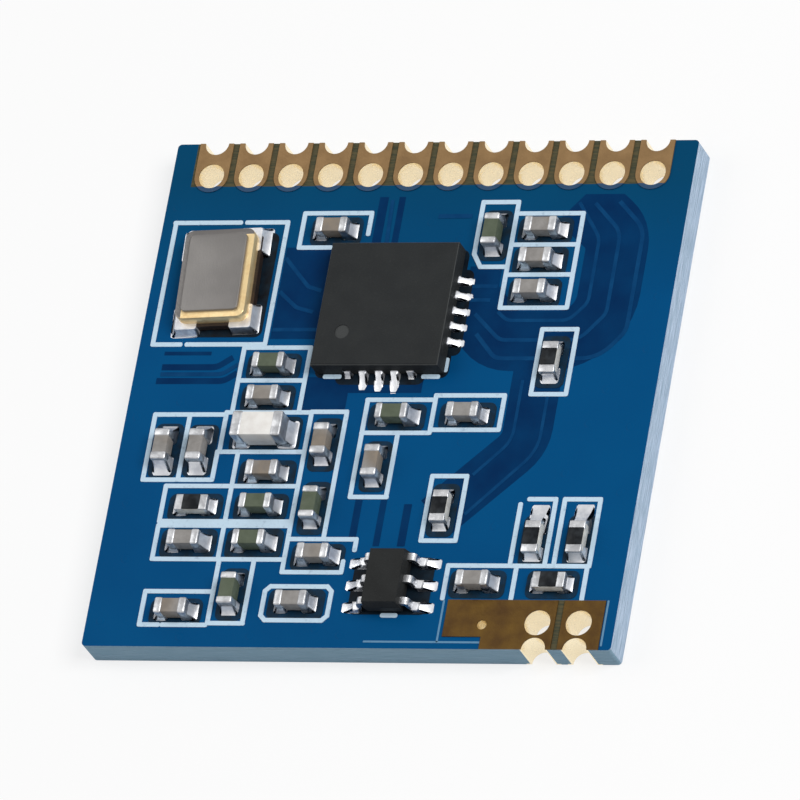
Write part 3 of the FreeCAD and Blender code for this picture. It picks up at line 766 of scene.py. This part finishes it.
def part_flux_and_shade():
    """Dark flux and painted shade round every small part, darker round the switch, chip and crystal."""
    shape = bmesh.new()
    # Patches round each small part: flux and painted shade
    for number, (_family, part) in enumerate(read_parts()):
        half_length = part.length / 2 + FLUX_SHADE_REACH[0] * chance.uniform(*FLUX_SHADE_SPREAD[0])
        half_width = part.width / 2 + FLUX_SHADE_REACH[1] * chance.uniform(*FLUX_SHADE_SPREAD[1])
        surround(shape, part.place(), half_length, half_width, FLUX_SHADE_HEIGHT + number * HEIGHT_STEP / 2)
    make_piece("part_flux_and_shade", shape, "flux_and_shade", "solder_mask")
    # Darkest patches round the switch, chip and crystal: flux and painted shade, mostly painted shadow
    shape = bmesh.new()
    for number, (node, west, south, east, north) in enumerate(WIDE_FLUX_SHADE, start=1):
        low, high = (Vector(corner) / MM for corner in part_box(node))
        low -= Vector((west, south, 0))
        high += Vector((east, north, 0))
        middle = (low + high) / 2
        half = (high - low) / 2
        surround(shape, turned(middle.x, middle.y, 0, 0), half.x, half.y,
                 FLUX_SHADE_HEIGHT - number * HEIGHT_STEP / 2)
    make_piece("lead_flux_and_shade", shape, "deep_flux_and_shade", "solder_mask")


# Reach of the solder beyond the chip: lead by lead on the side nearest -Y, then its sides towards +X,
# +Y and -X, and how far each of those varies
CHIP_TOES = (0.18, 0.55, 0.6, 0.62, 0.2)
CHIP_SIDE_TOES = (0.5, 0.2, 0.2)
CHIP_TOE_SPREAD = (0.9, 1.05)
LEAD_PITCH = 0.5

# Width of the solder under the chip's middle
CHIP_BED = 2.6


def chip_beads(solder):
    """Solder in front of the chip's leads on its four sides."""
    low, high = (Vector(corner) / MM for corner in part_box("transceiver_chip"))
    middle = (low + high) / 2
    half = (high.x - low.x) / 2
    for side in range(4):
        for number, reach in enumerate(CHIP_TOES):
            if side < len(CHIP_SIDE_TOES):
                reach = CHIP_SIDE_TOES[side] * chance.uniform(*CHIP_TOE_SPREAD)
            step = (number - len(CHIP_TOES) // 2) * LEAD_PITCH
            place = turned(middle.x, middle.y, 0, 90 * side) @ Matrix.Translation((0, step, 0))
            bead(solder, place, inner=half - 0.35, face=half + 0.01, toe=half + reach,
                 half_pad=0.15, half_top=0.13, climb=0.2, steps=4, curve=FULL)
    block(solder, (middle.x, middle.y, (TOP + SEAT) / 2), (CHIP_BED, CHIP_BED, SEAT - TOP))


# The crystal's own sizes along X and Y, before it is turned
TRAY_SIZE = (2.4, 3.1)
RING_SIZE = (2.2, 2.9)
RING_WALL = 0.35
LID_SIZE = (1.8, 2.5)

# Rounding of its frame and lid, at their corners and along the top
RING_CORNER = 0.25
RING_RIM = 0.04
LID_CORNER = 0.15
LID_RIM = 0.03

# How far the solder's middle lies from the tray's corner along Y
TRAY_BEAD_INSET = 0.3


def plate_of(shape, size, low):
    """Flat rectangle round the middle."""
    return sheet_of(shape, -size[0] / 2, size[0] / 2, -size[1] / 2, size[1] / 2, low)


def soften_rim(shape, level, offset, segments):
    """Round the edges that lie at a level."""
    rim = [edge for edge in shape.edges if min(corner.co.z for corner in edge.verts) > level - TOUCH]
    round_edges(shape, rim, offset, segments)


def crystal_pieces(solder):
    """Rounded seal frame and lid of the crystal, and the solder at its corners."""
    seat = turned(*CRYSTAL_MIDDLE, 0, CRYSTAL_TURN)
    low, high = (corner[2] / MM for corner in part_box("crystal_seal_ring"))
    draft = bmesh.new()
    plate = plate_of(draft, RING_SIZE, low)
    bmesh.ops.inset_region(draft, faces=[plate], use_boundary=True, thickness=RING_WALL)
    bmesh.ops.delete(draft, geom=[plate], context="FACES_ONLY")
    wall = bmesh.ops.extrude_face_region(draft, geom=draft.faces[:], use_keep_orig=True)["geom"]
    bmesh.ops.translate(draft, vec=(0, 0, high - low), verts=corners_in(wall))
    outside = RING_SIZE[0] / 2 - TOUCH
    outer = [edge for edge in rising_edges(draft) if abs(edge.verts[0].co.x) > outside]
    round_edges(draft, outer, RING_CORNER, segments=5)
    soften_rim(draft, high, RING_RIM, segments=2)
    ring = bmesh.new()
    stamp(ring, draft, seat)
    make_piece("crystal_frame", ring, "gold_rim", "gold_rim", "crystal_seal_ring")

    low, high = (corner[2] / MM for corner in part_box("crystal_lid"))
    draft = bmesh.new()
    raise_face(draft, plate_of(draft, LID_SIZE, low), high - low)
    round_edges(draft, rising_edges(draft), LID_CORNER, segments=5)
    soften_rim(draft, high, LID_RIM, segments=3)
    lid = bmesh.new()
    stamp(lid, draft, seat)
    make_piece("crystal_cover", lid, "nickel_lid", "nickel_lid", "crystal_lid")

    for x, turn in ((-1, 180), (1, 0)):
        for y in (-1, 1):
            side = y * (TRAY_SIZE[1] / 2 - TRAY_BEAD_INSET)
            corner = seat @ turned(x * TRAY_SIZE[0] / 2, side, 0, turn)
            bead(solder, corner, inner=-0.7, face=-0.02, toe=0.22,
                 half_pad=0.5, half_top=0.38, climb=0.32, curve=2.0)


# Gull-wing lead of the switch: its gauge and width, where it starts and first bends, both from the
# body's middle, its height over the seat, and the straight lengths of its drop and its foot
LEAD_GAUGE = 0.13
LEAD_WIDTH = 0.22
LEAD_START = 0.5
LEAD_SHOULDER = 0.665
LEAD_RISE = 0.36
LEAD_DROP = 0.215
LEAD_FOOT = 0.17

# Its bends, and the distance from one lead to the next
BEND_RADIUS = 0.09
BEND_ANGLE = 80
SWITCH_PITCH = 0.7


def switch_lead():
    """Flat bar spun down to the board and out again, drawn towards +X from the switch's middle."""
    draft = bmesh.new()
    face = sheet_of(draft, -LEAD_GAUGE / 2, LEAD_GAUGE / 2, -LEAD_WIDTH / 2, LEAD_WIDTH / 2, 0)
    bmesh.ops.rotate(draft, matrix=Matrix.Rotation(QUARTER, 3, "Y"), verts=draft.verts)
    bmesh.ops.translate(draft, vec=(LEAD_START, 0, SEAT + LEAD_RISE + LEAD_GAUGE / 2), verts=draft.verts)
    heading = Vector((1, 0, 0))
    runs = ((LEAD_SHOULDER - LEAD_START, BEND_ANGLE), (LEAD_DROP, -BEND_ANGLE), (LEAD_FOOT, 0))
    for length, angle in runs:
        moved = bmesh.ops.extrude_face_region(draft, geom=[face])["geom"]
        bmesh.ops.translate(draft, vec=heading * length, verts=corners_in(moved))
        face = first_face(moved)
        if angle:
            side = heading.cross(Vector((0, 1, 0))) * math.copysign(BEND_RADIUS, angle)
            middle = face.calc_center_median() - side
            spun = bmesh.ops.spin(draft, geom=[face], cent=middle, axis=(0, 1, 0),
                                  angle=math.radians(angle), steps=5, use_duplicate=False)
            face = first_face(spun["geom_last"])
            heading.rotate(Matrix.Rotation(math.radians(angle), 3, "Y"))
    return draft


def switch_pieces(solder):
    """Leads of the switch and the solder at their feet."""
    low, high = (Vector(corner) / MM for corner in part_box("switch_body"))
    middle = (low + high) / 2
    leads = bmesh.new()
    for side in (0, 180):
        for step in (-SWITCH_PITCH, 0, SWITCH_PITCH):
            place = turned(middle.x, middle.y + step, 0, side)
            stamp(leads, switch_lead(), place)
            bead(solder, place, inner=0.8, face=1.0, toe=1.43,
                 half_pad=0.19, half_top=0.13, climb=0.19, curve=1.8)
    make_piece("switch_legs", leads, "tinned_copper", "tinned_copper", "switch_leads")


# Degrees of a trace's bend that one straight piece takes up
DEGREES_A_PIECE = 9


def ribbon(shape, start, heading, moves, width):
    """Flat line on the board with straight runs and round bends, as a router lays a trace."""
    turn = Matrix.Rotation(math.radians(heading), 3, "Z")
    ahead = turn @ Vector((1, 0, 0))
    across = turn @ Vector((0, width / 2, 0))
    middle = Vector((start[0], start[1], TOP))
    ends = [shape.verts.new(middle + across), shape.verts.new(middle - across)]
    edge = shape.edges.new(ends)
    for length, radius, angle in moves:
        if length:
            moved = bmesh.ops.extrude_edge_only(shape, edges=[edge])["geom"]
            bmesh.ops.translate(shape, vec=ahead * length, verts=corners_in(moved))
            middle += ahead * length
            edge = first_edge(moved)
        if angle:
            left = Vector((-ahead.y, ahead.x, 0)) * math.copysign(radius, angle)
            centre = middle + left
            steps = max(2, round(abs(angle) / DEGREES_A_PIECE))
            spun = bmesh.ops.spin(shape, geom=[edge], cent=centre, axis=(0, 0, 1),
                                  angle=math.radians(angle), steps=steps, use_duplicate=False)
            swing = Matrix.Rotation(math.radians(angle), 3, "Z")
            middle = centre - swing @ left
            ahead = swing @ ahead
            edge = first_edge(spun["geom_last"])


# Low areas of the mask with no copper under them, as broad ribbons: start, heading in degrees, moves
# of length, bend radius and bend angle, and width
GROOVES = (
    ((1.9, 3.0), -48, ((1.3, 1.1, 48), (1.18, 1.5, 90), (1.45, 1.1, 50), (1.3, 0, 0)), 1.95),
    ((4.5, 0.9), -90, ((2.1, 1.1, -45), (2.9, 0, 0)), 1.55),
    ((-7.5, 0.38), 0, ((2.0, 0.5, 35), (0.3, 0, 0)), 0.2),
    ((-7.4, 0.83), 0, ((1.6, 0.5, 35), (0.4, 0, 0)), 0.2),
    ((-7.4, 1.28), 0, ((1.5, 0, 0),), 0.12),
    ((-3.38, 4.75), -90, ((3.0, 0, 0),), 1.5),
    ((-1.33, 6.4), -90, ((1.75, 0, 0),), 0.28),
    ((-0.75, 6.4), -90, ((1.75, 0, 0),), 0.2),
    ((2.3, 4.1), -90, ((1.0, 0, 0),), 1.0),
    ((-2.7, -0.05), 0, ((1.36, 0, 0),), 1.1),
    ((-1.34, 0.27), 0, ((2.3, 0, 0),), 0.56),
    ((-0.36, -3.45), -90, ((1.25, 0, 0),), 0.22),
    ((0.42, -3.45), -90, ((1.5, 0, 0),), 0.2),
    ((1.2, -3.6), -90, ((1.35, 0, 0),), 0.24),
)

# Raised traces, drawn in the same way
TRACES = (
    ((2.35, 1.9), -48, ((0.85, 0.5, 48), (2.45, 1.15, 50), (0.35, 0.7, 40), (2.7, 0.9, 45), (0.9, 0, 0)),
     0.13),
    ((2.2, 2.55), -43, ((1.05, 0.5, 43), (1.95, 0.7, 50), (0.6, 0.5, 40), (2.15, 0.8, 45), (1.0, 0, 0)),
     0.12),
    ((2.9, 2.62), -40, ((0.3, 0.4, 40), (1.55, 0.5, 48), (0.35, 0.5, 42), (1.7, 0.7, 35), (1.2, 0, 0)),
     0.11),
    ((4.07, 0.4), -90, ((1.6, 0.9, -43), (1.15, 0, 0)), 0.1),
    ((4.93, 0.0), -90, ((1.35, 1.3, -43), (2.3, 0, 0)), 0.1),
    ((-7.4, 0.6), 0, ((1.8, 0.5, 35), (0.4, 0, 0)), 0.13),
    ((-4.1, 4.4), -47, ((1.2, 0.3, 30), (0.4, 0, 0)), 0.12),
    ((-4.1, 3.3), -40, ((0.75, 0.3, 25), (0.5, 0, 0)), 0.12),
    ((-4.1, 2.05), 0, ((1.5, 0, 0),), 0.12),
    ((1.9, 3.45), 0, ((0.85, 0, 0),), 0.12),
    ((1.9, 3.0), 0, ((0.7, 0, 0),), 0.12),
    ((-1.05, 6.3), -88, ((1.6, 0, 0),), 0.12),
    ((0.5, 5.75), 0, ((1.05, 0, 0),), 0.14),
)

# Covered through-connections, as small raised rings
VIAS = (
    (0.3, 5.55), (1.3, 5.0), (7.8, 3.1), (7.65, -1.1), (2.5, -1.6), (0.75, -3.75), (7.8, 5.6),
    (6.35, -1.0), (6.7, 0.1), (7.75, 1.4), (5.9, -2.6), (7.7, -3.2), (-7.9, -0.8), (-7.7, -3.6),
    (-7.4, -5.4), (-7.8, -7.4), (4.0, -4.3), (-0.2, -7.8), (-3.0, -7.85), (-5.2, -7.9),
    (-6.6, -0.3), (-1.0, -7.6), (7.8, -5.4), (-7.9, 6.1), (7.85, 7.3),
)

# Ribbons stop at this Y, short of the row of contacts
RIBBON_END = 6.45

# Heights over the board of the first groove and of the first trace
GROOVE_HEIGHT = 0.002
TRACE_HEIGHT = 0.008

# Radius of a covered via at the board, and the share of it that is left at the top
VIA_RADIUS = 0.13
VIA_TAPER = 0.8

# Printed lines: width, height of the first, what each adds, and rounding as a share of the width
INK_WIDTH = 0.14
INK_HEIGHT = 0.02
INK_STEP = 0.0001
INK_ROUND = 0.4

# Width of the mask's pale edges
EDGE_WIDTH = 0.06


def ribbons(rows, height):
    """Flat lines of one table, each a little higher than the last, because they cross."""
    shape = bmesh.new()
    for number, (start, heading, moves, width) in enumerate(rows):
        draft = bmesh.new()
        ribbon(draft, start, heading, moves, width)
        bmesh.ops.bisect_plane(draft, geom=draft.verts[:] + draft.edges[:] + draft.faces[:],
                               plane_co=(0, RIBBON_END, 0), plane_no=(0, 1, 0), clear_outer=True)
        raised = bmesh.ops.extrude_face_region(draft, geom=draft.faces[:], use_keep_orig=True)["geom"]
        bmesh.ops.translate(draft, vec=(0, 0, height + number * HEIGHT_STEP), verts=corners_in(raised))
        stamp(shape, draft, Matrix())
    return shape


def surface_copper():
    """Low areas, raised traces and covered vias of the printed board."""
    make_piece("mask_grooves", ribbons(GROOVES, GROOVE_HEIGHT), "groove", "solder_mask")
    make_piece("mask_traces", ribbons(TRACES, TRACE_HEIGHT), "trace", "solder_mask")
    vias = bmesh.new()
    for x, y in VIAS:
        draft = bmesh.new()
        bmesh.ops.create_cone(draft, cap_ends=True, segments=16, radius1=VIA_RADIUS,
                              radius2=VIA_RADIUS * VIA_TAPER, depth=TRACE_HEIGHT)
        top = max(draft.faces, key=lambda face: face.calc_center_median().z)
        bmesh.ops.inset_region(draft, faces=[top], thickness=VIA_RADIUS / 3, depth=-TRACE_HEIGHT / 2)
        stamp(vias, draft, Matrix.Translation((x, y, TOP + TRACE_HEIGHT / 2)))
    make_piece("mask_vias", vias, "solder_mask", "solder_mask")


# Printed lines along X: from, to and their Y
LINES_ACROSS = (
    (-7.85, -5.76, 5.58), (-5.55, -4.25, 5.58), (-7.8, -6.95, 1.57), (-6.74, -4.25, 1.57),
    (-3.75, -1.63, 5.87), (-3.75, -2.75, 4.74),
    (1.84, 2.95, 6.2), (2.1, 2.95, 4.08),
    (2.95, 5.04, 5.82), (2.95, 5.04, 4.8), (2.95, 5.04, 3.82), (2.95, 5.04, 2.74),
    (4.4, 5.49, 2.04), (4.4, 5.49, -0.06),
    (-4.88, -2.77, 1.46), (-4.88, -2.77, 0.39), (-5.05, -2.36, -0.65),
    (-5.05, -2.36, -1.93), (-7.31, -5.11, -0.72), (-7.31, -5.11, -2.84),
    (-6.53, -2.36, -3.04), (-6.53, -2.36, -4.18), (-6.53, -2.36, -4.32), (-6.53, -2.36, -5.4),
    (-2.36, -1.25, -0.63), (-2.36, -0.21, -4.74), (-2.36, -0.5, -5.8),
    (-0.67, 1.46, -0.24), (1.46, 3.6, -0.1), (-0.67, 1.46, -1.31), (1.46, 3.6, -1.21),
    (-0.65, 0.48, -3.38), (1.8, 2.88, -2.7), (1.8, 2.88, -4.77),
    (4.95, 5.77, -3.43), (6.05, 7.15, -3.43), (2.8, 7.15, -5.56),
    (-4.4, -3.29, -7.45), (-6.54, -4.46, -6.44), (-6.54, -5.95, -7.51), (-5.82, -4.46, -7.51),
    (-2.62, -0.84, -6.26), (-2.62, -0.84, -7.34),
    (-2.15, -1.7, 0.51), (0.95, 1.4, 0.51), (1.03, 1.43, -7.16),
)

# Printed lines along Y: their X, from and to
LINES_ALONG = (
    (-7.83, 1.57, 5.58), (-4.25, 1.57, 5.58), (-3.75, 4.74, 5.87), (-1.63, 5.18, 5.87),
    (1.84, 4.5, 6.2), (2.95, 4.08, 6.2), (2.95, 2.74, 4.08), (5.04, 2.74, 5.82),
    (4.4, -0.06, 2.04), (5.49, -0.06, 2.04), (-4.88, -0.65, 1.46), (-2.77, -0.65, 1.46),
    (-5.05, -1.93, -0.65), (-7.31, -2.84, -0.72), (-6.2, -2.84, -0.72), (-5.11, -2.84, -1.93),
    (-4.45, -3.04, -1.93), (-2.36, -5.8, -0.65), (-1.25, -4.74, -0.63),
    (-6.53, -4.18, -3.04), (-4.45, -4.18, -3.04), (-6.53, -5.4, -4.32), (-4.45, -5.4, -4.32),
    (-0.21, -5.08, -4.74), (-0.5, -5.8, -5.45), (-0.66, -3.38, -0.24), (0.47, -3.38, -1.31),
    (1.46, -1.31, -0.1), (3.6, -1.21, -0.1), (1.8, -4.77, -2.7), (2.88, -4.77, -2.7),
    (4.7, -5.56, -3.6), (5.77, -5.56, -3.43), (6.05, -5.56, -3.43), (7.15, -5.56, -3.43),
    (2.8, -6.6, -5.56), (4.92, -6.6, -5.56), (7.1, -6.6, -5.56),
    (-4.4, -7.45, -5.4), (-3.3, -7.45, -5.4), (-6.54, -7.51, -6.44),
    (-2.77, -7.19, -6.41), (-0.69, -7.19, -6.41), (1.6, 0.72, 1.05),
)

# Printed short slants: from and to
LINES_SLANTED = (
    ((-2.77, -6.41), (-2.62, -6.26)), ((-2.77, -7.19), (-2.62, -7.34)),
    ((-0.84, -6.26), (-0.69, -6.41)), ((-0.84, -7.34), (-0.69, -7.19)), ((1.84, 4.5), (2.1, 4.08)),
)

# Thin pale edges of the mask beside the antenna and ground lands: from and to
PALE_EDGES = (
    ((2.86, -7.97), (2.86, -6.68)), ((0.6, -7.99), (4.2, -7.99)), ((7.93, -8.05), (7.93, -6.66)),
)


def stroke(shape, start, end, width, height):
    """Printed line with round ends."""
    run = Vector(end) - Vector(start)
    draft = bmesh.new()
    face = sheet_of(draft, -width / 2, run.length + width / 2, -width / 2, width / 2, 0)
    raise_face(draft, face, height)
    round_edges(draft, rising_edges(draft), width * INK_ROUND)
    stamp(shape, draft, turned(start[0], start[1], TOP, math.degrees(math.atan2(run.y, run.x))))


def printed_lines():
    """White outlines round the parts, each line a little higher than the last, because they cross."""
    lines = [((left, y), (right, y)) for left, right, y in LINES_ACROSS]
    lines += [((x, low), (x, high)) for x, low, high in LINES_ALONG]
    lines += LINES_SLANTED
    ink = bmesh.new()
    for number, (start, end) in enumerate(lines):
        stroke(ink, start, end, INK_WIDTH, INK_HEIGHT + number * INK_STEP)
    make_piece("printed_outlines", ink, "ink", "solder_mask")
    edges = bmesh.new()
    for start, end in PALE_EDGES:
        stroke(edges, start, end, EDGE_WIDTH, INK_HEIGHT / 2)
    make_piece("pale_edges", edges, "faint_ink", "solder_mask")


def backdrop_share(tree):
    """1 for what the camera sees straight, in gloss or through glass."""
    path = tree.nodes.new("ShaderNodeLightPath")
    largest = path.outputs["Is Camera Ray"]
    for label in ("Is Glossy Ray", "Is Transmission Ray"):
        step = tree.nodes.new("ShaderNodeMath")
        step.operation = "MAXIMUM"
        tree.links.new(largest, step.inputs[0])
        tree.links.new(path.outputs[label], step.inputs[1])
        largest = step.outputs[0]
    return largest


def white_world():
    """Even light all round, and white where the camera sees past the floor."""
    world = bpy.data.worlds.new("studio")
    bpy.context.scene.world = world
    world.use_nodes = True
    tree = world.node_tree
    tree.nodes.clear()
    soft = tree.nodes.new("ShaderNodeBackground")
    soft.inputs["Strength"].default_value = SKY_LEVEL
    white = tree.nodes.new("ShaderNodeBackground")
    white.inputs["Strength"].default_value = 1.0
    blend = tree.nodes.new("ShaderNodeMixShader")
    output = tree.nodes.new("ShaderNodeOutputWorld")
    tree.links.new(backdrop_share(tree), blend.inputs[0])
    tree.links.new(soft.outputs[0], blend.inputs[1])
    tree.links.new(white.outputs[0], blend.inputs[2])
    tree.links.new(blend.outputs[0], output.inputs["Surface"])


def pale_floor():
    """Wide pale floor that keeps a soft shadow."""
    material = bpy.data.materials.new("pale_floor")
    material.use_nodes = True
    tree = material.node_tree
    tree.nodes.clear()
    matte = tree.nodes.new("ShaderNodeBsdfDiffuse")
    matte.inputs["Color"].default_value = (FLOOR_WHITE, FLOOR_WHITE, FLOOR_WHITE, 1)
    glow = tree.nodes.new("ShaderNodeEmission")
    glow.inputs["Color"].default_value = (1, 1, 1, 1)
    share = tree.nodes.new("ShaderNodeMath")
    share.operation = "MULTIPLY"
    share.inputs[1].default_value = BACKDROP_SHARE
    blend = tree.nodes.new("ShaderNodeMixShader")
    output = tree.nodes.new("ShaderNodeOutputMaterial")
    tree.links.new(backdrop_share(tree), share.inputs[0])
    tree.links.new(share.outputs[0], blend.inputs[0])
    tree.links.new(matte.outputs[0], blend.inputs[1])
    tree.links.new(glow.outputs[0], blend.inputs[2])
    tree.links.new(blend.outputs[0], output.inputs["Surface"])
    shape = bmesh.new()
    bmesh.ops.create_grid(shape, x_segments=1, y_segments=1, size=1.0)
    bmesh.ops.translate(shape, vec=(0, 0, -FLOOR_GAP * MM), verts=shape.verts)
    mesh = bpy.data.meshes.new("floor")
    shape.to_mesh(mesh)
    shape.free()
    mesh.materials.append(material)
    floor = bpy.data.objects.new("floor", mesh)
    bpy.context.scene.collection.objects.link(floor)


def lamp(name, place, size, power):
    """Soft square lamp turned to the board's middle. Its place and size are in millimetres."""
    light = bpy.data.lights.new(name, "AREA")
    light.size = size * MM
    light.energy = power
    holder = bpy.data.objects.new(name, light)
    bpy.context.scene.collection.objects.link(holder)
    holder.location = Vector(place) * MM
    holder.rotation_euler = (-Vector(place)).to_track_quat("-Z", "Y").to_euler()


def set_camera():
    """Camera in the photograph's direction, rolled so that the board's X runs level."""
    height, around = math.radians(CAMERA_HEIGHT), math.radians(CAMERA_ROUND)
    level = math.cos(height)
    towards = Vector((level * math.sin(around), -level * math.cos(around), math.sin(height)))
    right = Vector((1, 0, 0)) - towards * towards.x
    right.normalize()
    up = towards.cross(right)
    camera = bpy.data.cameras.new("camera")
    camera.sensor_width = SENSOR
    camera.lens = FOCAL_PIXELS / FRAME_PIXELS * SENSOR
    camera.clip_start = NEAREST_SEEN * MM
    holder = bpy.data.objects.new("camera", camera)
    bpy.context.scene.collection.objects.link(holder)
    turn = Matrix((right, up, towards)).transposed().to_4x4()
    holder.matrix_world = Matrix.Translation((Vector(AIM) + towards * CAMERA_DISTANCE) * MM) @ turn
    bpy.context.scene.camera = holder


set_camera()
white_world()
pale_floor()
lamp("key", place=(160, 10, 190), size=120, power=0.42)
lamp("fill", place=(-160, 10, 150), size=160, power=0.12)
bpy.context.scene.view_settings.view_transform = "Standard"

paint_nodes()
beads = small_parts()
chip_beads(beads)
crystal_pieces(beads)
switch_pieces(beads)
make_piece("solder_beads", beads, "solder", "solder", "solder_joints", crease=60)
part_flux_and_shade()
surface_copper()
printed_lines()
